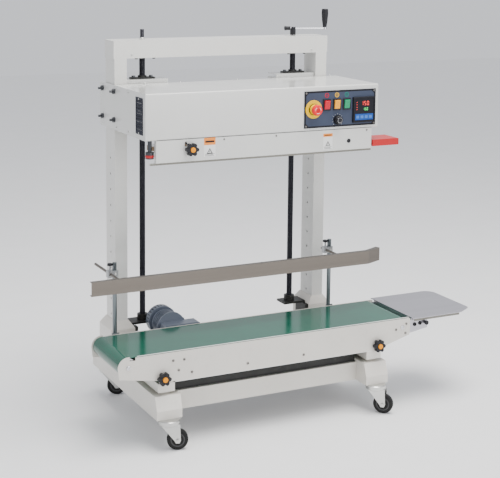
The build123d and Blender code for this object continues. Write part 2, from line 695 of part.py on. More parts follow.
def conveyor_outline():
    """Outline of a side plate: round at the outlet end, tapered below at both ends."""
    x0, z_axle = ROLLER_X[0], ROLLER_Z
    top_z = z_axle + END_R
    end_x = x0 - END_R
    arc = ThreePointArc(
        (x0, 0, top_z), (x0 - END_R * cos(radians(30)), 0, z_axle + END_R * sin(radians(30))), (end_x, 0, z_axle))
    slot_x0 = x0 + 5
    slot_x1 = x0 + 26
    slot_z = BELT_TOP - 11
    points = [
        (end_x, 0, z_axle), (end_x + 4, 0, z_axle - END_R), (-373, 0, CONVEYOR_Z0),
        (428, 0, CONVEYOR_Z0), (CONVEYOR_X1 - 4, 0, 275), (CONVEYOR_X1, 0, 286),
        (CONVEYOR_X1, 0, BELT_TOP - 3), (CONVEYOR_X1 - 4, 0, BELT_TOP), (slot_x1, 0, BELT_TOP),
        (slot_x1, 0, slot_z), (slot_x0, 0, slot_z), (slot_x0, 0, top_z), (x0, 0, top_z)]
    return make_face([arc, Polyline(points)])


def conveyor_side(y0):
    """One side plate, with the axle seats of the two rollers."""
    plate = Pos(0, y0, 0) * extrude(conveyor_outline(), amount=PLATE_T, dir=(0, 1, 0))
    for x in ROLLER_X:
        plate -= rod_y(x, ROLLER_Z, y0 - 1, y0 + PLATE_T + 1, 8.05)
    return plate


def conveyor_side_front():
    """Front side plate with holes for the two clamp knobs."""
    plate = conveyor_side(CONVEYOR_FRONT)
    for x in (-KNOB_X, KNOB_X):
        plate -= rod_y(x, KNOB_Z, CONVEYOR_FRONT - 1, CONVEYOR_FRONT + PLATE_T + 1, 4.3)
    return plate


def conveyor_bed():
    """Slider bed under the belt's upper run, with the two brackets that sit on the feet."""
    y0 = CONVEYOR_FRONT + PLATE_T
    y1 = CONVEYOR_REAR - PLATE_T
    top = BELT_TOP - BELT_T - BELT_GAP
    x0 = ROLLER_X[0] + ROLLER_R + 10
    x1 = ROLLER_X[1] - ROLLER_R - 10
    bed = block(x0, x1, y0, y1, top - 3, top)
    bed += block(x0, x1, y0, y0 + 3, 290, top)
    bed += block(x0, x1, y1 - 3, y1, 290, top)
    half = BRACKET_W / 2
    wall = BRACKET_WALL
    for side in (-1, 1):
        x = side * COLUMN_X
        frame = block(x - half, x + half, CONVEYOR_FRONT, CONVEYOR_REAR, BRACKET_Z0, CONVEYOR_Z0)
        frame -= block(x - half + wall, x + half - wall, y0 + wall, y1 - wall,
                       BRACKET_Z0 + wall, CONVEYOR_Z0 - wall)
        frame += block(x - 26, x + 26, y0, y0 + wall, CONVEYOR_Z0, 290.5)
        frame += block(x - 26, x + 26, y1 - wall, y1, CONVEYOR_Z0, 290.5)
        frame += block(x - 16, x + 16, y0 + 14, y1 - 14, FOOT_Z1 + 0.2, BRACKET_Z0)
        frame -= rod_y(side * KNOB_X, KNOB_Z, y0 - 1, y0 + 16, 4.3)
        bed += frame
    return bed


def conveyor_belt():
    """Closed belt round both rollers."""
    span = ROLLER_X[1] - ROLLER_X[0]
    mid = (ROLLER_X[1] + ROLLER_X[0]) / 2
    y0 = CONVEYOR_FRONT + PLATE_T + 4
    y1 = CONVEYOR_REAR - PLATE_T - 4
    outer = ROLLER_R + BELT_T
    inner = ROLLER_R + BELT_GAP
    ring = SlotCenterToCenter(span, 2 * outer) - SlotCenterToCenter(span, 2 * inner)
    return Pos(mid, y0, ROLLER_Z) * Rot(-90, 0, 0) * extrude(ring, y1 - y0)


def conveyor_roller(x):
    """Steel roller with its axle ends in the side plates."""
    y0 = CONVEYOR_FRONT + PLATE_T + 4
    y1 = CONVEYOR_REAR - PLATE_T - 4
    roller = rod_y(x, ROLLER_Z, y0, y1, ROLLER_R)
    return roller + rod_y(x, ROLLER_Z, CONVEYOR_FRONT - 2, CONVEYOR_REAR + 2, 8)


def side_table():
    """Stainless table at the inlet: a sheet with a front lip on two bracket wings."""
    top = BELT_TOP
    outline = [(TABLE_X0, TABLE_Y0), (810, TABLE_Y0), (866, -468), (TABLE_X1, -455),
               (TABLE_X1, TABLE_Y1), (TABLE_X0, TABLE_Y1)]
    sheet = plate_xy(outline, top - TABLE_T, top)
    rear_corner = sheet.edges().filter_by(Axis.Z).group_by(Axis.Y)[-1].sort_by(Axis.X)[-1:]
    sheet = fillet(rear_corner, 42)
    lip_y = TABLE_Y0 + 8
    sheet += block(TABLE_X0 + 8, 806, lip_y, lip_y + TABLE_T, top - 13, top - TABLE_T)
    sheet += block(TABLE_X0 + 8, 820, TABLE_Y1 - 12, TABLE_Y1 - 10, top - 13, top - TABLE_T)
    wing = [(TABLE_X0 + 1, 281), (664, 293), (664, 326), (650, top - TABLE_T), (TABLE_X0 + 1, top - TABLE_T)]
    tail = [(534, 288), (TABLE_X0 + 2, 281), (TABLE_X0 + 2, 332), (534, 332)]
    for y in (CONVEYOR_FRONT + PLATE_T, CONVEYOR_REAR - PLATE_T - 3):
        piece = plate_xz(wing, y, y + 3) + plate_xz(tail, y, y + 3)
        sheet += piece - rod_y(ROLLER_X[1], ROLLER_Z, y - 1, y + 4, 12)
    sheet += block(TABLE_X0 + 1, TABLE_X0 + 4, CONVEYOR_FRONT + PLATE_T + 1, CONVEYOR_REAR - PLATE_T - 1,
                   300, top - TABLE_T)
    for y in (CONVEYOR_FRONT + 24, CONVEYOR_REAR - 24):
        sheet += rod_x(y, 309, TABLE_X0 + 3, TABLE_X0 + 72, 4)
        sheet += hex_x(y, 309, TABLE_X0 + 14, TABLE_X0 + 22, 15)
        sheet += hex_x(y, 309, TABLE_X0 + 60, TABLE_X0 + 66, 15)
    return sheet


def gear_motor():
    """Conveyor gear motor: gearbox on the rear plate, ribbed body and fan cover behind it."""
    rear = CONVEYOR_REAR
    gearbox = block(MOTOR_X - 46, MOTOR_X + 96, rear, rear + 52, MOTOR_Z - 62, MOTOR_Z + 22)
    gearbox = fillet(gearbox.edges().filter_by(Axis.Y), 8)
    flange = rod_y(MOTOR_X, MOTOR_Z, rear + 52, rear + 60, MOTOR_R + 6)
    can = rod_y(MOTOR_X, MOTOR_Z, rear + 60, FAN_REAR - 44, MOTOR_R - 4)
    for i in range(5):
        y = rear + 66 + i * 12
        can += rod_y(MOTOR_X, MOTOR_Z, y, y + 4, MOTOR_R)
    neck = rod_y(MOTOR_X, MOTOR_Z, FAN_REAR - 45, FAN_REAR - 41, MOTOR_R - 8)
    fan = rod_y(MOTOR_X, MOTOR_Z, FAN_REAR - 41, FAN_REAR, FAN_R)
    fan = fillet(fan.edges().filter_by(GeomType.CIRCLE).group_by(Axis.Y)[-1], 10)
    box = block(MOTOR_X + 20, MOTOR_X + 62, rear + 74, rear + 118, MOTOR_Z - 26, MOTOR_Z + 20)
    return gearbox + flange + can + neck + fan + box


# ---------------------------------------------------------------- bag guide

def guide_posts():
    """Two posts on the conveyor's rear plate, each on a bolted foot."""
    pieces = []
    for x in POST_X:
        post = rod_z(x, POST_Y, 250, POST_TOP, POST_R)
        post += block(x - 14, x + 14, CONVEYOR_REAR, CONVEYOR_REAR + 6, 250, 345)
        post += hex_y(x + 9, 336, CONVEYOR_REAR + 6, CONVEYOR_REAR + 12, 10)
        pieces.append(post)
    return group(*pieces)


def guide_clamps():
    """Cross clamps that slide on the posts and hold the rods, each with two screws."""
    pieces = []
    for x in POST_X:
        rod_at = x - ROD_SIDE
        clamp = block(rod_at - 11, x + 11, POST_Y - 12, POST_Y + 12, ROD_Z - 12, ROD_Z + 12)
        clamp = fillet(clamp.edges().filter_by(Axis.Z), 4)
        clamp -= rod_z(x, POST_Y, ROD_Z - 20, ROD_Z + 20, POST_R + 0.05)
        clamp -= rod_y(rod_at, ROD_Z, POST_Y - 20, POST_Y + 20, ROD_R + 0.05)
        clamp += rod_z(rod_at, POST_Y, ROD_Z + 12, ROD_Z + 30, 3)
        clamp += rod_z(rod_at, POST_Y, ROD_Z + 30, ROD_Z + 38, 7)
        pieces.append(clamp)
    return group(*pieces)


def guide_bar():
    """Stainless channel bar with its tip bent back, and the two rods that carry it."""
    z0, z1 = GUIDE_Z
    back = GUIDE_FRONT + GUIDE_D
    tip_x = GUIDE_TIP * cos(radians(GUIDE_BEND))
    tip_y = GUIDE_TIP * sin(radians(GUIDE_BEND))
    t = 2
    front_line = [(GUIDE_X0, GUIDE_FRONT), (GUIDE_BEND_X, GUIDE_FRONT),
                  (GUIDE_BEND_X + tip_x, GUIDE_FRONT + tip_y)]
    back_line = [(GUIDE_BEND_X + tip_x - GUIDE_D * 0.41, back + tip_y), (GUIDE_BEND_X - 4, back), (GUIDE_X0, back)]
    bar = plate_xy(front_line + back_line, z0, z1)
    inner_front = [(GUIDE_X0 - 1, GUIDE_FRONT + t), (GUIDE_BEND_X, GUIDE_FRONT + t),
                   (GUIDE_BEND_X + tip_x + 8, GUIDE_FRONT + t + tip_y + 3.5)]
    inner_back = [(GUIDE_BEND_X + tip_x, back + tip_y + 1), (GUIDE_BEND_X - 4, back + 1), (GUIDE_X0 - 1, back + 1)]
    bar -= plate_xy(inner_front + inner_back, z0 + t, z1 - t)
    pieces = []
    for x, rear in zip(POST_X, ROD_REAR):
        rod_at = x - ROD_SIDE
        bar += block(rod_at - 14, rod_at + 14, GUIDE_FRONT + t, back, z0 + t, z1 - t)
        pieces.append(rod_y(rod_at, ROD_Z, back, rear, ROD_R))
    for rod in pieces:
        bar += rod
    return bar


# ---------------------------------------------------------------- build

NODES = {
    "foot_left": foot(),
    "foot_right": mirrored_x(foot()),
    "base_crossbeam": crossbeam(),
    "base_tray": base_tray(),
    "column_left": column(),
    "column_right": mirrored_x(column()),
    "top_beam": top_beam(),
    "screw_bearings": screw_bearings(),
    "lift_chain": lift_chain(),
    "caster_plates": caster_plates(),
    "lead_screw_left": lead_screw(-1),
    "lead_screw_right": lead_screw(1),
    "crank_arm": crank_arm(),
    "crank_grip": crank_grip(),
    "head_cover": head_cover(),
    "head_side_plate": head_side_plate(),
    "head_chassis": head_chassis(),
    "guide_shoes": guide_shoes(),
    "head_fasteners": head_fasteners(),
    "lead_nuts": lead_nuts(),
    "lower_front_cover": lower_front_cover(),
    "feed_guide": feed_guide(),
    "sealing_bands": sealing_bands(),
    "seal_blocks": seal_blocks(),
    "head_motor": head_motor(),
    "exit_roller": exit_roller(),
    "control_panel": control_panel(),
    "estop_base": estop_base(),
    "estop_button": estop_button(),
    "rocker_red": rocker(ROCKER_X[0]),
    "rocker_yellow": rocker(ROCKER_X[1]),
    "rocker_green": rocker(ROCKER_X[2]),
    "speed_knob": speed_knob(),
    "temperature_controller": temperature_controller(),
    "cover_knob": star_knob(COVER_KNOB[0], COVER_KNOB[1], HEAD_FRONT, KNOB_R, 6),
    "conveyor_side_front": conveyor_side_front(),
    "conveyor_side_rear": conveyor_side(CONVEYOR_REAR - PLATE_T),
    "conveyor_bed": conveyor_bed(),
    "conveyor_belt": conveyor_belt(),
    "drive_roller": conveyor_roller(ROLLER_X[0]),
    "idler_roller": conveyor_roller(ROLLER_X[1]),
    "clamp_knob_left": star_knob(-KNOB_X, KNOB_Z, CONVEYOR_FRONT, KNOB_R, 14),
    "clamp_knob_right": star_knob(KNOB_X, KNOB_Z, CONVEYOR_FRONT, KNOB_R, 14),
    "side_table": side_table(),
    "gear_motor": gear_motor(),
    "guide_posts": guide_posts(),
    "guide_clamps": guide_clamps(),
    "guide_bar": guide_bar(),
}

for end, wheel_x in zip(("drive", "idle"), BAND_WHEEL_X):
    for name, side in (("front", -1), ("rear", 1)):
        NODES[f"band_wheel_{end}_{name}"] = band_wheel(wheel_x, side)

for corner, (x, y, angle) in caster_positions().items():
    NODES[f"caster_fork_{corner}"] = caster_fork(x, y, angle)
    NODES[f"caster_wheel_{corner}"] = caster_wheel(x, y, angle)

os.makedirs("parts", exist_ok=True)
centre = Compound(list(NODES.values())).bounding_box().center()
for node, shape in NODES.items():
    export_step(Pos(-centre.X, -centre.Y, 0) * shape, f"parts/{node}.step")
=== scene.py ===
"""Looks of the continuous band sealer: materials, trim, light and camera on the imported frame.

Places are given in millimetres from the middle of the two columns at floor level: X along the
belt, Y to the back, Z up. at() turns them into the frame's metres.
"""
import bmesh
import bpy
import json
from math import cos, pi, radians, sin
from mathutils import Matrix, Vector


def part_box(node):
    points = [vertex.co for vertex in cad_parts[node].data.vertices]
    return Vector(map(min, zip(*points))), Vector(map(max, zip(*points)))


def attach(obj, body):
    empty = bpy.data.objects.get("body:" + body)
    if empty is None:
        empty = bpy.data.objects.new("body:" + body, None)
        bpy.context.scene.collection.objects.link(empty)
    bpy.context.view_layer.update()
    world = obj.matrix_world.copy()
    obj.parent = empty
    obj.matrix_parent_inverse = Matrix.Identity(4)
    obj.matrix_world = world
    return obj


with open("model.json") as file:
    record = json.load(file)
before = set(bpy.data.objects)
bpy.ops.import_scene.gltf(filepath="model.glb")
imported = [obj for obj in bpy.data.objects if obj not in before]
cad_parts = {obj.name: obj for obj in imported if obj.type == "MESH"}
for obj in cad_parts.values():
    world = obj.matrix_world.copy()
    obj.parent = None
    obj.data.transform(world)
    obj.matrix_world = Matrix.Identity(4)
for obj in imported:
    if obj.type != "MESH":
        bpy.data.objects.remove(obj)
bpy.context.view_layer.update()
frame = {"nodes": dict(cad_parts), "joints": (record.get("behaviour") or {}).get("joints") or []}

MM = 0.001
SHEET = 3          # thickness of the bent sheets
FAN_R = 56         # radius of the gear motor's fan cover
BEZEL_X, BEZEL_Z = 16.5, 21.5      # half width and half height of a rocker switch's frame
KEY_X, KEY_Z = 11.6, 18.3          # half width and half height of the gap its rocker tilts in
LEFT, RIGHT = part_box("column_left"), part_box("column_right")
MIDDLE = Vector(((LEFT[0][0] + RIGHT[1][0]) / 2, (LEFT[0][1] + LEFT[1][1]) / 2, 0))


def at(x, y, z):
    """A point of the machine, in the frame's metres."""
    return MIDDLE + Vector((x, y, z)) * MM


def edges_of(node):
    """A node's box in machine millimetres: x0, x1, y0, y1, z0, z1."""
    low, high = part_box(node)
    pairs = [((low[i] - MIDDLE[i]) / MM, (high[i] - MIDDLE[i]) / MM) for i in range(3)]
    return [value for pair in pairs for value in pair]


# ---------------------------------------------------------------- materials

def tint(colour, factor):
    """The colour made lighter or darker, with its alpha."""
    return tuple(min(1.0, channel * factor) for channel in colour[:3]) + (1.0,)


def finish(name, colour, rough, metal=0.0, vary=0.05, grain=900.0, bump=0.06, stretch=(1, 1, 1),
           coat=0.0, scuff=0.12, scuff_colour=None, glow=0.0, specular=0.5):
    """A surface with drifting colour, uneven gloss, fine grain and faint scuffs."""
    material = bpy.data.materials.new(name)
    material.use_nodes = True
    nodes, links = material.node_tree.nodes, material.node_tree.links
    shader = nodes["Principled BSDF"]
    shader.inputs["Metallic"].default_value = metal
    shader.inputs["Coat Weight"].default_value = coat
    shader.inputs["Coat Roughness"].default_value = 0.12
    shader.inputs["Specular IOR Level"].default_value = specular
    place = nodes.new("ShaderNodeTexCoord")
    mapping = nodes.new("ShaderNodeMapping")
    mapping.inputs["Scale"].default_value = stretch
    links.new(place.outputs["Object"], mapping.inputs["Vector"])

    def noise(scale, detail):
        node = nodes.new("ShaderNodeTexNoise")
        node.inputs["Scale"].default_value = scale
        node.inputs["Detail"].default_value = detail
        links.new(mapping.outputs["Vector"], node.inputs["Vector"])
        return node.outputs["Fac"]

    drift = nodes.new("ShaderNodeValToRGB")
    drift.color_ramp.elements[0].position = 0.3
    drift.color_ramp.elements[0].color = tint(colour, 1 - vary)
    drift.color_ramp.elements[1].position = 0.7
    drift.color_ramp.elements[1].color = tint(colour, 1 + vary)
    links.new(noise(5.0, 4.0), drift.inputs["Fac"])
    marks = nodes.new("ShaderNodeValToRGB")
    marks.color_ramp.elements[0].position = 0.60
    marks.color_ramp.elements[0].color = (0, 0, 0, 1)
    marks.color_ramp.elements[1].position = 0.78
    marks.color_ramp.elements[1].color = (scuff, scuff, scuff, 1)
    links.new(noise(38.0, 6.0), marks.inputs["Fac"])
    mix = nodes.new("ShaderNodeMix")
    mix.data_type = "RGBA"
    links.new(marks.outputs["Color"], mix.inputs["Factor"])
    links.new(drift.outputs["Color"], mix.inputs["A"])
    mix.inputs["B"].default_value = tint(scuff_colour or colour, 1.0 if scuff_colour else 0.6)
    links.new(mix.outputs["Result"], shader.inputs["Base Color"])
    gloss = nodes.new("ShaderNodeMapRange")
    gloss.inputs["To Min"].default_value = max(0.02, rough - 0.07)
    gloss.inputs["To Max"].default_value = min(1.0, rough + 0.09)
    links.new(noise(14.0, 5.0), gloss.inputs["Value"])
    links.new(gloss.outputs["Result"], shader.inputs["Roughness"])
    relief = nodes.new("ShaderNodeBump")
    relief.inputs["Strength"].default_value = bump
    relief.inputs["Distance"].default_value = 0.0005
    links.new(noise(grain, 3.0), relief.inputs["Height"])
    links.new(relief.outputs["Normal"], shader.inputs["Normal"])
    if glow:
        shader.inputs["Emission Color"].default_value = tint(colour, 1.0)
        shader.inputs["Emission Strength"].default_value = glow
    return material


def threaded(name, colour, lead):
    """Turned steel with a thread whose ridges follow one another every lead metres."""
    material = finish(name, colour, 0.40, metal=0.6, vary=0.12, bump=0.05, specular=0.3)
    nodes, links = material.node_tree.nodes, material.node_tree.links
    wave = nodes.new("ShaderNodeTexWave")
    wave.bands_direction = "Z"
    wave.inputs["Scale"].default_value = 2 * pi / (20 * lead)
    place = next(node for node in nodes if node.type == "TEX_COORD")
    links.new(place.outputs["Object"], wave.inputs["Vector"])
    ridge = nodes.new("ShaderNodeBump")
    ridge.inputs["Strength"].default_value = 0.9
    ridge.inputs["Distance"].default_value = 0.0015
    links.new(wave.outputs["Fac"], ridge.inputs["Height"])
    fine = next(node for node in nodes if node.type == "BUMP" and node != ridge)
    links.new(fine.outputs["Normal"], ridge.inputs["Normal"])
    shader = nodes["Principled BSDF"]
    links.new(ridge.outputs["Normal"], shader.inputs["Normal"])
    return material


ENAMEL = finish("enamel_grey", (0.66, 0.655, 0.625), 0.34, vary=0.03, grain=650, bump=0.10, coat=0.25,
                scuff=0.10)
COVER = finish("enamel_cover", (0.66, 0.66, 0.635), 0.22, vary=0.025, grain=420, bump=0.07, coat=0.6,
               scuff=0.07)
BEIGE = finish("enamel_beige", (0.66, 0.63, 0.575), 0.33, vary=0.035, grain=600, bump=0.10, coat=0.3,
               scuff=0.14)
PANEL = finish("panel_blue", (0.040, 0.052, 0.088), 0.50, vary=0.08, grain=900, bump=0.12, scuff=0.10,
               specular=0.25)
# near-black for borders, print and slots; also painted shadow in the column holes, the table gap and the
# guide bar's open end
BLACK_AND_SHADE = finish("panel_border", (0.008, 0.008, 0.012), 0.45, vary=0.15, bump=0.05, specular=0.2)
NAVY = finish("vent_navy", (0.007, 0.009, 0.020), 0.48, vary=0.12, grain=1200, bump=0.15, specular=0.2)
# dark steel for chain, bearings and nuts; on the base tray it is painted shade for the gap under the conveyor
DARK = finish("dark_steel", (0.024, 0.024, 0.023), 0.45, metal=0.2, vary=0.2, grain=800, bump=0.15,
              scuff=0.2, scuff_colour=(0.10, 0.09, 0.08), specular=0.3)
POST = finish("post_steel", (0.16, 0.18, 0.19), 0.30, metal=0.9, vary=0.15, grain=500, bump=0.08, scuff=0.2)
ZINC = finish("zinc_plate", (0.60, 0.60, 0.58), 0.30, metal=0.95, vary=0.12, grain=220, bump=0.12,
              scuff=0.25, scuff_colour=(0.42, 0.40, 0.34))
BRIGHT = finish("bright_steel", (0.62, 0.62, 0.64), 0.20, metal=1.0, vary=0.06, bump=0.05)
STAINLESS = finish("brushed_table", (0.50, 0.49, 0.53), 0.33, metal=0.85, vary=0.04, grain=260,
                   bump=0.12, stretch=(0.12, 4, 1), scuff=0.16)
GUIDE = finish("brushed_guide", (0.17, 0.15, 0.13), 0.40, metal=0.9, vary=0.08, grain=260, bump=0.14,
               stretch=(0.1, 4, 6), scuff=0.22)
ALUMINIUM = finish("clamp_alloy", (0.40, 0.41, 0.42), 0.38, metal=0.9, vary=0.10, grain=500, bump=0.18)
BLACK = finish("black_plastic", (0.010, 0.010, 0.013), 0.42, vary=0.25, grain=1600, bump=0.22, scuff=0.12,
               scuff_colour=(0.05, 0.05, 0.05), specular=0.3)
ORANGE = finish("cap_orange", (0.88, 0.31, 0.0), 0.45, vary=0.06, bump=0.06, scuff=0.03, specular=0.08)
BELT = finish("belt_green", (0.0, 0.082, 0.048), 0.14, vary=0.12, grain=520, bump=0.05, scuff=0.10,
              scuff_colour=(0.01, 0.12, 0.08), specular=0.55)
BAND = finish("sealing_band", (0.20, 0.13, 0.07), 0.5, vary=0.15, grain=1500, bump=0.3)
MOTOR = finish("motor_blue", (0.105, 0.125, 0.165), 0.36, vary=0.08, grain=260, bump=0.25, coat=0.2,
               scuff=0.2)
MOTOR_LIGHT = finish("motor_plate", (0.30, 0.38, 0.50), 0.35, vary=0.06, grain=400, bump=0.12)
RED = finish("guide_red", (0.50, 0.010, 0.013), 0.32, vary=0.07, grain=500, bump=0.08, specular=0.4)
STOP_RED = finish("stop_red", (0.80, 0.010, 0.016), 0.35, vary=0.05, grain=900, bump=0.06, specular=0.25)
STOP_DARK = finish("stop_centre", (0.50, 0.004, 0.008), 0.35, vary=0.05, bump=0.05, specular=0.25)
YELLOW = finish("stop_yellow", (0.90, 0.56, 0.0), 0.40, vary=0.04, bump=0.06, specular=0.2)
LENS_RED = finish("lens_red", (0.55, 0.002, 0.018), 0.22, vary=0.08, bump=0.05, glow=0.12, specular=0.35)
LENS_YELLOW = finish("lens_yellow", (0.90, 0.36, 0.0), 0.22, vary=0.08, bump=0.05, glow=0.12, specular=0.35)
LENS_GREEN = finish("lens_green", (0.0, 0.26, 0.11), 0.22, vary=0.08, bump=0.05, glow=0.12, specular=0.35)
DIGIT_RED = finish("digit_red", (1.0, 0.04, 0.03), 0.4, vary=0.03, bump=0.02, glow=1.1)
DIGIT_GREEN = finish("digit_green", (0.08, 1.0, 0.20), 0.4, vary=0.03, bump=0.02, glow=0.8)
KEY_BLUE = finish("key_blue", (0.012, 0.075, 0.33), 0.40, vary=0.06, bump=0.05, specular=0.2)
KEY_LIGHT = finish("key_light", (0.06, 0.17, 0.50), 0.4, vary=0.06, bump=0.05, specular=0.2)
# white for labels, scales and marks; also painted highlights along the conveyor plates' edges
WHITE = finish("white_print_and_highlight", (0.80, 0.80, 0.78), 0.40, vary=0.03, grain=1500, bump=0.05, scuff=0.08)
LABEL_ORANGE = finish("label_orange", (0.83, 0.25, 0.02), 0.40, vary=0.04, grain=1500, bump=0.05)
RUBBER = finish("tyre_rubber", (0.009, 0.009, 0.009), 0.60, vary=0.25, grain=700, bump=0.35, scuff=0.25,
                scuff_colour=(0.05, 0.047, 0.043), specular=0.25)
HUB = finish("wheel_hub", (0.030, 0.030, 0.032), 0.45, vary=0.12, grain=500, bump=0.15, scuff=0.2)
SCREW = finish("plate_screw", (0.20, 0.19, 0.175), 0.42, metal=0.7, vary=0.15, grain=900, bump=0.1)
MARK_RED = finish("mark_red", (0.45, 0.006, 0.03), 0.45, vary=0.05, bump=0.05, specular=0.2)
MARK_AMBER = finish("mark_amber", (0.75, 0.42, 0.01), 0.45, vary=0.05, bump=0.05, specular=0.2)
MARK_GREEN = finish("mark_green", (0.005, 0.17, 0.13), 0.45, vary=0.05, bump=0.05, specular=0.2)
STUD = finish("stud_steel", (0.075, 0.078, 0.085), 0.34, metal=0.7, vary=0.2, grain=900, bump=0.12, scuff=0.2)
# painted shade: dark grey for the shaded face of the cover's lower rail and the side table's lip
SHADE_GREY = finish("rail_shade", (0.20, 0.19, 0.16), 0.45, vary=0.08, grain=600, bump=0.1)
NYLON = finish("nylon", (0.60, 0.59, 0.55), 0.45, vary=0.05, bump=0.1)
THREAD = threaded("lead_screw", (0.030, 0.030, 0.038), 0.005)

COATS = {
    ENAMEL: ["column_left", "column_right", "top_beam"],
    COVER: ["head_cover", "head_side_plate", "head_chassis", "lower_front_cover"],
    BEIGE: ["foot_left", "foot_right", "base_crossbeam", "conveyor_side_front", "conveyor_side_rear",
            "conveyor_bed"],
    PANEL: ["control_panel"],
    # the base tray's dark coat is painted shade: the shadowed gap between conveyor and crossbeam
    DARK: ["base_tray", "lift_chain", "screw_bearings", "lead_nuts"],
    POST: ["guide_posts"],
    THREAD: ["lead_screw_left", "lead_screw_right"],
    BRIGHT: ["crank_arm", "drive_roller", "idler_roller"],
    STUD: ["head_fasteners", "exit_roller"],
    ZINC: ["caster_plates"],
    STAINLESS: ["side_table"],
    GUIDE: ["guide_bar"],
    ALUMINIUM: ["guide_clamps", "seal_blocks"],
    BLACK: ["crank_grip", "cover_knob", "clamp_knob_left", "clamp_knob_right", "speed_knob"],
    BLACK_AND_SHADE: ["temperature_controller"],
    NYLON: ["guide_shoes"],
    BAND: ["sealing_bands"],
    BELT: ["conveyor_belt"],
    MOTOR: ["gear_motor", "head_motor"],
    RED: ["feed_guide"],
    YELLOW: ["estop_base"],
    STOP_RED: ["estop_button"],
    LENS_RED: ["rocker_red"],
    LENS_YELLOW: ["rocker_yellow"],
    LENS_GREEN: ["rocker_green"],
}
CORNERS = ["front_left", "front_right", "rear_left", "rear_right"]
COATS[ZINC] += [f"caster_fork_{corner}" for corner in CORNERS]
COATS[RUBBER] = [f"caster_wheel_{corner}" for corner in CORNERS]
COATS[BRIGHT] += [f"band_wheel_{end}_{side}" for end in ("drive", "idle") for side in ("front", "rear")]


def coat_nodes():
    """Every CAD node gets the material of its real surface; the base tray's dark coat is painted shade."""
    for material, names in COATS.items():
        for name in names:
            slots = frame["nodes"][name].data.materials
            slots.clear()
            slots.append(material)


# ---------------------------------------------------------------- mesh helpers

def piece(name, bm, material, body, bevel=0.0):
    """A finished mesh, shaded smooth up to 35 degrees, riding on a body."""
    bmesh.ops.recalc_face_normals(bm, faces=bm.faces[:])
    for face in bm.faces:
        face.smooth = True
    for edge in bm.edges:
        edge.smooth = len(edge.link_faces) == 2 and edge.calc_face_angle(0) < radians(35)
    mesh = bpy.data.meshes.new(name)
    bm.to_mesh(mesh)
    bm.free()
    mesh.materials.append(material)
    obj = bpy.data.objects.new(name, mesh)
    bpy.context.scene.collection.objects.link(obj)
    if bevel:
        rounding = obj.modifiers.new("rounding", "BEVEL")
        rounding.width = bevel * MM
        rounding.segments = 2
        rounding.limit_method = "ANGLE"
    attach(obj, body)
    return obj


def add_block(bm, x0, x1, y0, y1, z0, z1):
    """A box between two corners, in machine millimetres."""
    corners = bmesh.ops.create_cube(bm, size=1.0)["verts"]
    size = Vector((x1 - x0, y1 - y0, z1 - z0)) * MM
    centre = at((x0 + x1) / 2, (y0 + y1) / 2, (z0 + z1) / 2)
    for vertex in corners:
        vertex.co = Vector(vertex.co[i] * size[i] for i in range(3)) + centre


def blocks(name, boxes, material, body, bevel=0.3):
    """One piece made of rounded blocks."""
    bm = bmesh.new()
    for corners in boxes:
        add_block(bm, *corners)
    return piece(name, bm, material, body, bevel)


AXES = {
    "x": (Vector((1, 0, 0)), Vector((0, 1, 0)), Vector((0, 0, 1))),
    "y": (Vector((0, 1, 0)), Vector((0, 0, 1)), Vector((1, 0, 0))),
    "z": (Vector((0, 0, 1)), Vector((1, 0, 0)), Vector((0, 1, 0))),
}


def add_turned(bm, profile, axis, centre, steps=32, lobes=0, depth=0.0):
    """A turned shape: (radius, height) points round an axis, optionally with lobes on its rim."""
    along, across, up = AXES[axis] if isinstance(axis, str) else axis
    origin = at(*centre)
    rings = []
    for radius, height in profile:
        if radius <= 1e-6:
            rings.append([bm.verts.new(origin + along * height * MM)])
            continue
        ring = []
        for i in range(steps):
            angle = 2 * pi * i / steps
            reach = radius * (1 + depth * cos(lobes * angle)) * MM
            ring.append(bm.verts.new(
                origin + along * height * MM + across * reach * cos(angle) + up * reach * sin(angle)))
        rings.append(ring)
    for low, high in zip(rings, rings[1:]):
        for i in range(steps):
            quad = [low[i % len(low)], low[(i + 1) % len(low)], high[(i + 1) % len(high)],
                    high[i % len(high)]]
            corners = list(dict.fromkeys(quad))
            if len(corners) > 2:
                bm.faces.new(corners)


def turned(name, profile, axis, centre, material, body, **options):
    """One turned piece."""
    bm = bmesh.new()
    add_turned(bm, profile, axis, centre, **options)
    return piece(name, bm, material, body)


def screw_head(radius):
    """Profile of a domed screw head with a socket, standing out along minus its axis."""
    return [(radius, 0), (radius, -0.35 * radius), (0.8 * radius, -0.6 * radius),
            (0.42 * radius, -0.68 * radius), (0.40 * radius, -0.25 * radius), (0, -0.25 * radius)]


def screws(name, places, radius, axis, material, body):
    """Screw heads at several places, as one piece."""
    bm = bmesh.new()
    for centre in places:
        add_turned(bm, screw_head(radius), axis, centre, steps=18)
    return piece(name, bm, material, body)


FLIP_Z = (Vector((0, 0, -1)), Vector((1, 0, 0)), Vector((0, -1, 0)))
FLIP_Y = (Vector((0, -1, 0)), Vector((0, 0, 1)), Vector((-1, 0, 0)))


# ---------------------------------------------------------------- head

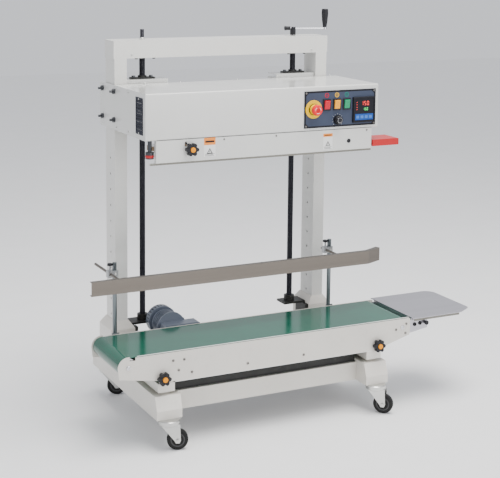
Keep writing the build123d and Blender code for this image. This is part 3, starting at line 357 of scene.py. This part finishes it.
def vent():
    """Navy vent on the head's left end: a frame, slanted fins and two screws."""
    x1 = edges_of("head_side_plate")[0]
    x0, y0, y1, z0, z1 = x1 - 2.4, -341, -276, 1084, 1214
    rim = 5
    blocks("vent_frame", [
        (x0, x1, y0, y0 + rim, z0, z1), (x0, x1, y1 - rim, y1, z0, z1),
        (x0, x1, y0 + rim, y1 - rim, z0, z0 + rim + 4), (x0, x1, y0 + rim, y1 - rim, z1 - rim - 4, z1)],
        NAVY, "head", 0.5)
    bm = bmesh.new()
    fins = 12
    pitch = (z1 - z0 - 2 * rim - 8) / fins
    for i in range(fins):
        z = z0 + rim + 4 + i * pitch
        ends = [(x0 + 0.4, z), (x0 + 1.6, z), (x1 - 0.1, z + pitch * 0.82), (x1 - 1.4, z + pitch * 0.82)]
        front = [bm.verts.new(at(x, y0 + rim, h)) for x, h in ends]
        back = [bm.verts.new(at(x, y1 - rim, h)) for x, h in ends]
        bm.faces.new(front)
        bm.faces.new(back[::-1])
        for j in range(4):
            bm.faces.new((front[j], back[j], back[(j + 1) % 4], front[(j + 1) % 4]))
    piece("vent_fins", bm, NAVY, "head")
    middle = (y0 + y1) / 2
    screws("vent_screws", [(x0, middle, z0 + 5), (x0, middle, z1 - 5)], 3.2, "x", ZINC, "head")


def cover_trim():
    """Screws, slots and seams of the head cover, and painted shade on its lower rail."""
    x0, x1, front, back, z0, z1 = edges_of("head_cover")
    ends = [(x0 - SHEET, y, z) for y in (-200, -80) for z in (z0 + 12, z1 - 12)]
    screws("cover_end_screws", ends, 3.4, "x", ZINC, "head")
    tops = [(x, back + 14, z1) for x in (-430, -180, 60, 300, 470)]
    screws("cover_top_screws", tops, 3.6, FLIP_Z, ZINC, "head")
    blocks("cover_slots", [(-378, -362, -109, -106, z1 - 0.2, z1 + 0.25),
                           (-353, -337, -117, -114, z1 - 0.2, z1 + 0.25)],
           BLACK_AND_SHADE, "head", 0.1)
    turned("cover_stud", [(5, 0), (5, 3), (3.6, 4.4), (0, 4.8)], "z", (-333, -61, z1), ZINC, "head", steps=20)
    sheet_x0, sheet_x1, _, _, rail_z, _ = edges_of("lower_front_cover")
    # painted shade on the face of the cover's lower rail
    blocks("cover_rail_shade", [(sheet_x0, sheet_x1, front + 2.4, front + SHEET, rail_z, rail_z + 7)], SHADE_GREY,
           "head", 0)
    blocks("cover_seam", [(sheet_x0 + 24, sheet_x1, front - 0.15, front + 0.3, z0 - 0.6, z0 + 0.6)], BLACK_AND_SHADE,
           "head", 0)
    screws("guard_screws", [(x, front, z0 - 9) for x in (-150, 60, 445)], 3.4, "y", SCREW, "head")
    turned("guard_plug", [(8, 0), (8, -1.6), (6.6, -2.8), (0, -3.2)], "y", (x1 - 125.5, front, 1020.7),
           BLACK, "head")
    turned("adjuster_pin", [(3.4, 0), (3.4, -7), (2.6, -8), (0, -8.2)], "y", (-299, front + 2, 1052),
           BLACK, "head", steps=20)


def label(name, x0, x1, z0, z1, split):
    """Generic sticker: a coloured head, a white field and a dark warning triangle."""
    front = edges_of("lower_front_cover")[2]
    blocks(f"{name}_field", [(x0, x1, front - 0.25, front, z0, split)], WHITE, "head", 0.1)
    blocks(f"{name}_head", [(x0, x1, front - 0.25, front, split, z1)], LABEL_ORANGE, "head", 0.1)
    middle, size = (x0 + x1) / 2, (x1 - x0) * 0.3
    base = z0 + (split - z0) * 0.42
    bm = bmesh.new()
    for i in range(3):
        first, second = (radians(90 + 120 * (i + k)) for k in (0, 1))
        quad = [(first, 1.0), (second, 1.0), (second, 0.62), (first, 0.62)]
        bm.faces.new([bm.verts.new(at(middle + size * r * cos(a), front - 0.4, base + size * r * sin(a)))
                      for a, r in quad])
    add_block(bm, middle - 1.2, middle + 1.2, front - 0.45, front - 0.2, base - 2, base + size * 0.32)
    for i in range(3):
        z = z0 + 3 + i * 3.2
        add_block(bm, x0 + 4, x1 - 4 - 5 * (i % 2), front - 0.4, front - 0.2, z, z + 1.1)
    add_block(bm, x0 + 5, x1 - 5, front - 0.4, front - 0.2, split + (z1 - split) * 0.35,
              split + (z1 - split) * 0.6)
    piece(f"{name}_print", bm, BLACK_AND_SHADE, "head")


def exit_ring():
    """Red ring round the small roller under the outlet end."""
    x0, x1, y0, y1, z0, _ = edges_of("exit_roller")
    centre = ((x0 + x1) / 2, (y0 + y1) / 2, z0)
    turned("exit_ring", [(15.0, 5), (15.7, 6), (15.7, 13), (15.0, 14)], "z", centre, RED,
           "exit_press_roller", steps=48)


def knob_cap(name, node, body):
    """Domed orange cap with a fine ring on a star knob."""
    x0, x1, y0, _, z0, z1 = edges_of(node)
    centre = ((x0 + x1) / 2, y0, (z0 + z1) / 2)
    radius = (x1 - x0) / 2 * 0.38
    profile = [(radius + 0.6, 2.6), (radius + 0.6, 0.8), (radius, -0.1), (radius * 0.9, -0.3),
               (radius * 0.6, -0.7), (0, -0.9)]
    turned(name, profile, "y", centre, ORANGE, body, steps=40)
    bm = bmesh.new()
    for i in range(6):
        angle = 2 * pi * i / 6 + pi / 6
        reach = (x1 - x0) / 2 * 0.60
        place = (centre[0] + reach * cos(angle), y0 + 3, centre[2] + reach * sin(angle))
        add_turned(bm, [(2.6, 1), (2.6, -0.3), (1.6, -0.8), (0, -0.8)], "y", place, steps=14)
    piece(f"{name}_dimples", bm, BLACK, body)


# ---------------------------------------------------------------- control panel

# bars lit for each figure that is shown
SEGMENTS = {
    "0": "abcdef", "1": "bc", "5": "afgcd",
}


def digits(name, number, x, z, height, front, material):
    """Seven-segment figures, laid out from the left."""
    width, stroke = height * 0.52, height * 0.13
    half = height / 2
    bars = {
        "a": (stroke, width - stroke, half - stroke, half),
        "g": (stroke, width - stroke, -stroke / 2, stroke / 2),
        "d": (stroke, width - stroke, -half, -half + stroke), "f": (0, stroke, stroke / 2, half - stroke / 2),
        "b": (width - stroke, width, stroke / 2, half - stroke / 2),
        "e": (0, stroke, stroke / 2 - half, -stroke / 2),
        "c": (width - stroke, width, stroke / 2 - half, -stroke / 2),
    }
    boxes = []
    for place, figure in enumerate(number):
        left = x + place * width * 1.45
        for bar in SEGMENTS[figure]:
            x0, x1, z0, z1 = bars[bar]
            boxes.append((left + x0, left + x1, front - 0.3, front, z + z0, z + z1))
    blocks(name, boxes, material, "head", 0)


def controller_face():
    """Dark window, figures, lamps and keys of the temperature controller."""
    x0, x1, y0, _, z0, z1 = edges_of("temperature_controller")
    front = y0 + 1.5
    centre, middle = (x0 + x1) / 2, (z0 + z1) / 2
    blocks("controller_window", [(x0 + 9, x1 - 9, front - 0.4, front, middle - 8, z1 - 10)], BLACK_AND_SHADE, "head",
           0.2)
    digits("controller_reading", "150", centre - 13, z1 - 24, 16, front - 0.4, DIGIT_RED)
    digits("controller_target", "150", centre - 5, middle + 2, 10, front - 0.4, DIGIT_GREEN)
    blocks("controller_key_band", [(x0 + 9, x1 - 9, front - 0.5, front, z0 + 9, z0 + 32)], KEY_BLUE, "head",
           0.3)
    keys = [(x0 + 13 + i * 18.5, x0 + 26 + i * 18.5, front - 1.3, front - 0.4, z0 + 15, z0 + 26)
            for i in range(4)]
    blocks("controller_keys", keys, KEY_LIGHT, "head", 0.5)
    bm = bmesh.new()
    for i in range(4):
        add_turned(bm, [(1.5, 0.2), (1.5, -0.5), (0, -0.9)], "y", (x0 + 16, front, middle + 28 - i * 9),
                   steps=12)
    piece("controller_lamps", bm, DIGIT_RED, "head")


def panel_trim():
    """Border, corner screws, symbols and the knob's scale on the control panel."""
    x0, x1, _, back, z0, z1 = edges_of("control_panel")
    front = back - 2.5
    rim = 6.5
    blocks("panel_border", [
        (x0, x1, front - 0.3, front, z0, z0 + rim), (x0, x1, front - 0.3, front, z1 - rim, z1),
        (x0, x0 + rim, front - 0.3, front, z0 + rim, z1 - rim),
        (x1 - rim, x1, front - 0.3, front, z0 + rim, z1 - rim)],
        BLACK_AND_SHADE, "head", 0.1)
    bm = bmesh.new()
    for x, inward in ((x0 + rim, 1), (x1 - rim, -1)):
        for z, up in ((z0 + rim, 1), (z1 - rim, -1)):
            bm.faces.new([bm.verts.new(at(px, front - 0.25, pz)) for px, pz in (
                (x, z), (x + 11 * inward, z), (x, z + 11 * up))])
    piece("panel_corners", bm, BLACK_AND_SHADE, "head")
    corners = [(x, front - 0.3, z) for x in (x0 + 7, x1 - 7) for z in (z0 + 7, z1 - 7)]
    screws("panel_screws", corners, 3.6, "y", SCREW, "head")
    for colour, mark in (("red", MARK_RED), ("yellow", MARK_AMBER), ("green", MARK_GREEN)):
        left, right, _, _, low, high = edges_of(f"rocker_{colour}")
        x, z = (left + right) / 2, (low + high) / 2
        frame_y = front - 3
        blocks(f"switch_bezel_{colour}", [
            (x - BEZEL_X, x - KEY_X, frame_y - 0.8, frame_y, z - BEZEL_Z, z + BEZEL_Z),
            (x + KEY_X, x + BEZEL_X, frame_y - 0.8, frame_y, z - BEZEL_Z, z + BEZEL_Z),
            (x - KEY_X, x + KEY_X, frame_y - 0.8, frame_y, z + KEY_Z, z + BEZEL_Z),
            (x - KEY_X, x + KEY_X, frame_y - 0.8, frame_y, z - BEZEL_Z, z - KEY_Z),
            (x - BEZEL_X, x + BEZEL_X, frame_y, front, z - BEZEL_Z - 0.2, z - BEZEL_Z),
            (x - BEZEL_X, x + BEZEL_X, frame_y, front, z + BEZEL_Z, z + BEZEL_Z + 0.2),
            (x - BEZEL_X - 0.2, x - BEZEL_X, frame_y, front, z - BEZEL_Z - 0.2, z + BEZEL_Z + 0.2),
            (x + BEZEL_X, x + BEZEL_X + 0.2, frame_y, front, z - BEZEL_Z - 0.2, z + BEZEL_Z + 0.2)],
            BLACK, "head", 0.3)
        bm = bmesh.new()
        add_turned(bm, [(9, 0), (9, -0.35), (6.2, -0.35), (6.2, 0)], "y", (x, front, z + 35), steps=36)
        add_block(bm, x - 4, x + 4, front - 0.35, front, z + 34.2, z + 35.8)
        if colour != "red":
            add_block(bm, x - 0.8, x + 0.8, front - 0.35, front, z + 31, z + 39)
        piece(f"switch_symbol_{colour}", bm, mark, "head")
    kx0, kx1, ky0, _, kz0, kz1 = edges_of("speed_knob")
    x, z = (kx0 + kx1) / 2, (kz0 + kz1) / 2
    bm = bmesh.new()
    for i in range(11):
        angle = radians(225 - 27 * i)
        inner, outer = 20.5, 24.5 if i % 5 == 0 else 23
        side = Vector((-sin(angle), 0, cos(angle))) * 0.4
        ends = [Vector((x + r * cos(angle), front - 0.3, z + r * sin(angle))) for r in (inner, outer)]
        corners = [ends[0] - side, ends[1] - side, ends[1] + side, ends[0] + side]
        bm.faces.new([bm.verts.new(at(*corner)) for corner in corners])
    piece("speed_scale", bm, WHITE, "head")
    turned("speed_skirt", [(16.2, -1.2), (15.6, -13), (14, -14.6), (9.8, -15)], "y", (x, ky0 + 20, z),
           BLACK, "speed_dial", steps=72, lobes=24, depth=0.018)
    turned("speed_cap", [(9.9, 1.4), (9.9, 0.1), (9.2, -0.15), (8.8, 0.1), (0, 0.15)], "y",
           (x, ky0, z), BRIGHT, "speed_dial", steps=40)
    blocks("speed_pointer", [(x - 0.6, x + 0.6, ky0 - 0.15, ky0 + 0.3, z + 2, z + 8.4)], BLACK_AND_SHADE,
           "speed_dial", 0)


def stop_trim():
    """Turn-to-release marks and the darker centre of the emergency stop."""
    x0, x1, y0, _, z0, z1 = edges_of("estop_button")
    x, z = (x0 + x1) / 2, (z0 + z1) / 2
    turned("stop_centre", [(7.4, 0.6), (7.4, -0.1), (6.6, -0.35), (0, -0.4)], "y", (x, y0, z), STOP_DARK,
           "stop_button", steps=36)
    bm = bmesh.new()
    for third in range(3):
        start = 2 * pi * third / 3
        steps = 9
        for i in range(steps):
            a, b = start + i * 0.13, start + (i + 1) * 0.13
            spread = 2.6 * (1 - i / steps) if i > 5 else 1.1
            quad = [(a, 11.6 - spread), (b, 11.6 - spread * 0.85), (b, 11.6 + spread * 0.85),
                    (a, 11.6 + spread)]
            bm.faces.new([bm.verts.new(at(x + r * cos(t), y0 - 0.12, z + r * sin(t))) for t, r in quad])
    piece("stop_arrows", bm, WHITE, "stop_button")
    seat = edges_of("estop_base")[3]
    turned("stop_ring", [(34.1, 0), (34.1, -1.6), (33, -2.9), (30.5, -2.9)], "y", (x, seat, z), YELLOW,
           "head", steps=64)
    turned("stop_collar", [(20.3, -2.6), (20.3, -7), (17.6, -7), (17.2, -2.6)], "y", (x, seat, z), BLACK,
           "head", steps=48)


# ---------------------------------------------------------------- conveyor

def conveyor_trim():
    """Screws and painted edge highlights of the side plates, roller end caps, and the side table's
    painted-shade lip, bolts and painted gap shadow.
    """
    x0, x1, front, _, z0, z1 = edges_of("conveyor_side_front")
    places = [(-398, 311), (-356, 310), (-377, 274), (-327, 260), (-108, 260), (120, 260),
              (520, 302), (566, 320), (563, 284)]
    screws("plate_screws", [(x, front, z) for x, z in places], 4.6, "y", SCREW, "conveyor")
    rear = edges_of("conveyor_side_rear")[3]
    screws("rear_plate_screws", [(x, rear, z) for x, z in places[:7]], 4.6, FLIP_Y, SCREW, "conveyor")
    for node in ("drive_roller", "idler_roller"):
        rx0, rx1, ry0, _, rz0, rz1 = edges_of(node)
        body = "roller_outlet" if node == "drive_roller" else "roller_inlet"
        turned(f"{node}_end", [(7.9, 1), (7.9, -0.4), (6.4, -1.0), (3.2, -1.0), (2.8, 0.4), (0, 0.6)], "y",
               ((rx0 + rx1) / 2, ry0, (rz0 + rz1) / 2), BRIGHT, body, steps=28)
    # painted highlights: white strips along the front plate's top and bottom edges
    blocks("plate_edge_highlight", [(x0 + 70, x1 - 6, front - 0.25, front + 2.6, z1 - 1.2, z1 + 0.2)], WHITE,
           "conveyor", 0.2)
    blocks("plate_lower_edge_highlight", [(-390, 410, front - 0.25, front + 2.6, z0 - 0.2, z0 + 1.4)], WHITE,
           "conveyor", 0.2)
    tx0, _, ty0, ty1, _, top = edges_of("side_table")
    # painted shadow in the gap between the conveyor and the side table
    blocks("table_gap_shadow", [(588.0, 589.2, ty0 + 14, ty1 - 2, top - 1.2, top + 0.15)], BLACK_AND_SHADE, "conveyor", 0)
    # painted shade on the side table's front lip
    blocks("table_lip_shade", [(tx0 + 62, 806, ty0 + 7.7, ty0 + 8, top - 13, top - 2)], SHADE_GREY, "conveyor", 0)
    wing_y = front + SHEET
    screws("table_bolts", [(tx0 + 72, wing_y, top - 29), (tx0 + 96, wing_y, top - 27)], 7.5, "y", BLACK,
           "conveyor")
    turned("table_stop", [(6, 0), (6, -9), (8.5, -10), (8.5, -16), (7, -17.5), (0, -18)], "y",
           (tx0 + 118, wing_y, top - 25), BLACK, "conveyor", steps=24)
    blocks("conveyor_tab", [(106, 192, front + SHEET, front + 22, z0 - 8, z0 + 2)], DARK, "conveyor", 0.5)


def motor_trim():
    """Fan slots, plate, gland and bolts of the gear motor."""
    x0, _, y0, y1, _, z1 = edges_of("gear_motor")
    x, z = x0 + FAN_R, z1 - FAN_R
    bm = bmesh.new()
    for i in range(28):
        angle = 2 * pi * i / 28
        out = Vector((cos(angle), 0, sin(angle)))
        side = Vector((-sin(angle), 0, cos(angle))) * 1.6
        near, far = (Vector((x, y, z)) + out * (FAN_R + 0.15) for y in (y1 - 34, y1 - 14))
        slot = (near - side, far - side, far + side, near + side)
        bm.faces.new([bm.verts.new(at(*corner)) for corner in slot])
    piece("fan_slots", bm, BLACK_AND_SHADE, "conveyor")
    bm = bmesh.new()
    for ring in range(4):
        radius = 14 + 9 * ring
        add_turned(bm, [(radius, -0.2), (radius, 0.3), (radius + 3, 0.3), (radius + 3, -0.2)], "y",
                   (x, y1, z), steps=48)
    piece("fan_rings", bm, BLACK_AND_SHADE, "conveyor")
    blocks("motor_plate", [(x + 22, x + 60, y0 + 80, y0 + 112, z + 18, z + 20.6)], MOTOR_LIGHT, "conveyor",
           0.4)
    turned("motor_gland", [(9, 0), (9, 5), (7, 5.5), (7, 12), (5.5, 13), (0, 13)], "x",
           (x + 61, y0 + 96, z - 4), BLACK, "conveyor", steps=24)
    bolts = [(x + dx, y0 + 61, z + dz) for dx in (-36, 36) for dz in (-36, 36)]
    screws("motor_bolts", bolts, 4.4, FLIP_Y, ZINC, "conveyor")


def guide_trim():
    """Shaded open end of the guide bar, and the clamps' screw knobs and screws."""
    x0, _, _, _, z0, z1 = edges_of("guide_bar")
    blocks("guide_end_shadow", [(x0 + 6, x0 + 7, -332.6, -317.4, z0 + 2.2, z1 - 2.2)], BLACK_AND_SHADE, "guide", 0)
    for index, x in enumerate((-526, 367)):
        turned(f"clamp_knob_{index}", [(8.6, 0), (9.2, 1.2), (9.2, 7), (8.2, 8.4), (0, 8.6)], "z",
               (x, -204, 596), BLACK, "guide_carriage", steps=60, lobes=20, depth=0.03)
    screws("clamp_screws", [(x, -216, 566) for x in (-508, 385)], 4.2, "y", ZINC, "guide_carriage")


# ---------------------------------------------------------------- crank, frame and casters

def crank_trim():
    """Blackened sleeve and cross stud of the crank's hub."""
    joint = next(joint for joint in frame["joints"] if joint["name"] == "crank_turn")
    grip = next(joint for joint in frame["joints"] if joint["name"] == "grip_spin")
    hub = (Vector(joint["pos_m"]) - MIDDLE) / MM
    arm = Vector(grip["pos_m"]) - Vector(joint["pos_m"])
    out = Vector((-arm.x, -arm.y, 0)).normalized()
    side = Vector((-out.y, out.x, 0))
    beam_top = edges_of("top_beam")[5]
    turned("crank_sleeve", [(11, beam_top + 3), (11.4, beam_top + 4), (11.4, hub.z + 2),
                            (10.6, hub.z + 5.6)], "z",
           (hub.x, hub.y, 0), BLACK, "screw_right", steps=36)
    turned("crank_stud", [(7, 10.8), (7.4, 11.4), (7.4, 26), (8.6, 27), (8.6, 33.6), (7, 34.6), (0, 35)],
           (out, side, Vector((0, 0, 1))), tuple(hub), BLACK, "screw_right", steps=28)


def caster_trim():
    """Hub discs with spokes and axle nuts on every caster."""
    joints = {joint["name"]: joint for joint in frame["joints"]}
    for corner in CORNERS:
        joint = joints[f"roll_{corner}"]
        axis = Vector(joint["axis"]).normalized()
        up = Vector((0, 0, 1))
        across = up.cross(axis)
        centre = (Vector(joint["pos_m"]) - MIDDLE) / MM
        for side in (-1, 1):
            frame_axes = (axis * side, across * side, up)
            place = tuple(centre + axis * side * 11.0)
            name = f"wheel_disc_{corner}_{'a' if side < 0 else 'b'}"
            turned(name, [(25.5, -0.2), (25, 0.5), (22, 0.7), (20.5, -0.1), (12.2, -0.1)],
                   frame_axes, place, HUB, f"wheel_{corner}", steps=40)
            nut_place = tuple(centre + axis * side * 18.2)
            turned(f"axle_nut_{corner}_{'a' if side < 0 else 'b'}",
                   [(7.2, 0), (7.2, 3.4), (6, 4.2), (3.2, 4.4), (0, 4.6)],
                   frame_axes, nut_place, ZINC, f"fork_{corner}", steps=6)


def frame_trim():
    """Screws, caps and blocks on the beam and pedestals, painted shadow strips behind the column holes and
    the screw's collar.
    """
    bx0, bx1, by0, by1, bz0, bz1 = edges_of("top_beam")
    screws("beam_screws", [(378.6, by0, bz0 + 13), (-378.6, by0, bz0 + 13)], 3.6, "y", ZINC, "base")
    blocks("beam_end_caps", [(bx0 - 0.3, bx0 + 0.2, by0 + 4, by1 - 4, bz0 + 4, bz1 - 4),
                             (bx1 - 0.2, bx1 + 0.3, by0 + 4, by1 - 4, bz0 + 4, bz1 - 4)], ENAMEL, "base", 0.1)
    for name, x0 in (("left", -375), ("right", 361)):
        blocks(f"pedestal_block_{name}", [(x0, x0 + 14, -62, -36, 290, 308)], DARK, "base", 0.8)
    bolts = [(side * 422.5 + dx, -66, z) for side in (-1, 1) for dx in (-32, 32) for z in (214, 284)]
    screws("pedestal_screws", bolts, 4.4, "y", ZINC, "base")
    for name in ("left", "right"):
        low, high = edges_of(f"column_{name}")[:2]
        inner, far = low + 3.3, high - 3.3
        # painted shadow: dark strips inside each column, behind its holes
        blocks(f"column_hole_shadow_{name}", [(inner, inner + 0.5, -12, 12, 340, 965),
                                         (far - 0.5, far, -12, 12, 340, 965)],
               BLACK_AND_SHADE, "base", 0)
    turned("stub_collar", [(9.4, 0), (9.4, 6), (8.6, 7), (7.6, 7)], "z", (-319.5, 0, bz1), ZINC, "base",
           steps=28)


def round_edges():
    """Small rounded edges on the bent and welded steel, so that they catch the light."""
    sizes = {"foot_left": 1.6, "foot_right": 1.6, "base_crossbeam": 1.6, "column_left": 1.6,
             "column_right": 1.6, "top_beam": 1.4, "control_panel": 0.5, "gear_motor": 1.2,
             "feed_guide": 0.8, "lower_front_cover": 0.5, "guide_clamps": 0.8,
             "conveyor_side_front": 0.8, "side_table": 0.5, "crank_arm": 0.8}
    for name, width in sizes.items():
        rounding = frame["nodes"][name].modifiers.new("rounding", "BEVEL")
        rounding.width = width * MM
        rounding.segments = 2
        rounding.limit_method = "ANGLE"
        rounding.angle_limit = radians(50)


# ---------------------------------------------------------------- stage

def floor():
    """Plain pale floor."""
    bm = bmesh.new()
    bmesh.ops.create_grid(bm, x_segments=1, y_segments=1, size=12)
    mesh = bpy.data.meshes.new("floor")
    bm.to_mesh(mesh)
    bm.free()
    mesh.materials.append(finish("floor_pale", (0.93, 0.93, 0.93), 0.8, vary=0.01, bump=0.02, scuff=0.0))
    obj = bpy.data.objects.new("floor", mesh)
    bpy.context.scene.collection.objects.link(obj)


def area_light(name, place, aim, size, watts, colour=(1, 1, 1)):
    """A soft box that points at a spot of the machine."""
    data = bpy.data.lights.new(name, "AREA")
    data.shape = "RECTANGLE"
    data.size, data.size_y = size
    data.energy = watts
    data.color = colour
    light = bpy.data.objects.new(name, data)
    light.location = Vector(place)
    light.rotation_euler = (Vector(aim) - Vector(place)).to_track_quat("-Z", "Y").to_euler()
    bpy.context.scene.collection.objects.link(light)


def studio():
    """Soft key from above, a front fill and a pale surround."""
    world = bpy.data.worlds.new("studio")
    world.use_nodes = True
    sky = world.node_tree.nodes["Background"]
    sky.inputs["Color"].default_value = (0.93, 0.95, 1.0, 1)
    sky.inputs["Strength"].default_value = 0.9
    bpy.context.scene.world = world
    area_light("key", (0.4, -0.8, 4.4), (0, 0, 0.8), (3.0, 2.2), 260, (1.0, 0.985, 0.96))
    area_light("front_fill", (1.4, -5.0, 1.6), (0, 0, 0.7), (2.6, 2.2), 75)
    area_light("left_rim", (-4.0, -0.6, 2.2), (0, 0, 0.8), (1.6, 2.4), 18, (0.93, 0.94, 1.0))


def camera():
    """Long lens in front of the outlet end, a little above the head, at the product's viewing angle."""
    yaw, pitch, roll = radians(26.524), radians(7.891), radians(0.589)
    data = bpy.data.cameras.new("camera")
    data.lens = 90.28
    data.sensor_width = 36
    data.shift_y = -0.24
    eye = bpy.data.objects.new("camera", data)
    turn = (Matrix.Rotation(-yaw, 4, "Z") @ Matrix.Rotation(pi / 2 - pitch, 4, "X")
            @ Matrix.Rotation(roll, 4, "Z"))
    eye.matrix_world = Matrix.Translation(at(-2043.3, -4362.3, 1743.9)) @ turn
    bpy.context.scene.collection.objects.link(eye)
    bpy.context.scene.camera = eye


coat_nodes()
round_edges()
vent()
cover_trim()
label("label_left", -229, -184, 998, 1066, 1040)
label("label_right", 257, 297, 993, 1053, 1041)
knob_cap("cover_knob_cap", "cover_knob", "cover_star_knob")
knob_cap("left_knob_cap", "clamp_knob_left", "star_knob_left")
knob_cap("right_knob_cap", "clamp_knob_right", "star_knob_right")
exit_ring()
panel_trim()
controller_face()
stop_trim()
conveyor_trim()
motor_trim()
guide_trim()
caster_trim()
crank_trim()
frame_trim()
floor()
studio()
camera()
